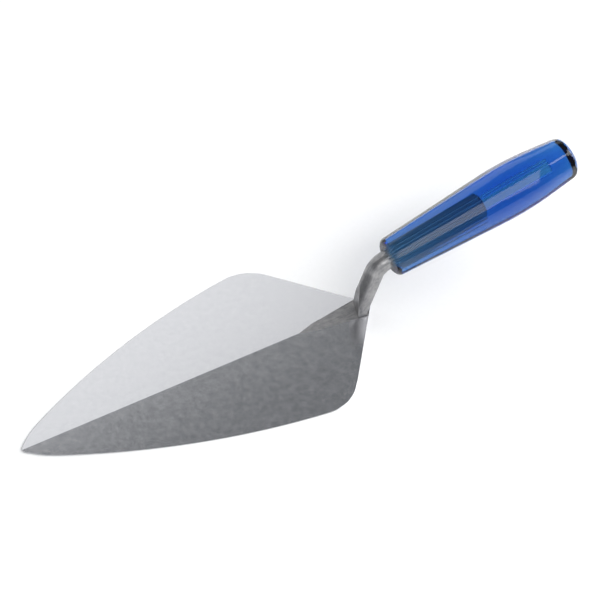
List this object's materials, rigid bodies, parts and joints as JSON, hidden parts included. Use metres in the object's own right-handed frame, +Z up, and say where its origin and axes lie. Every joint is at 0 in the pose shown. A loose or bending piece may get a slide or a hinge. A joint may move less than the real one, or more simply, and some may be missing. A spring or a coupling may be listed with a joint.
{
  "type": "brick trowel",
  "caption": "Pointed masonry trowel: a ridged, taper-ground steel blade with a wide square heel, a gooseneck shank and a clear blue faceted plastic handle.",
  "frame": {"origin": "on the blade's flat underside, where the axis of the shank's stem meets it", "axes": "+X from the blade's point towards the handle, +Z up out of the blade's ground face, the XZ plane is the plane of symmetry"},
  "size_m": [0.4379, 0.1366, 0.0934],
  "materials": {
    "ground_steel": "fine ground and satin polished",
    "forged_steel": "forged, linished and lightly polished",
    "clear_blue_plastic": "clear tinted, moulded and polished"
  },
  "bodies": {
    "root": {"blade": "ground_steel", "shank": "forged_steel", "handle": "clear_blue_plastic"}
  },
  "joints": []
}
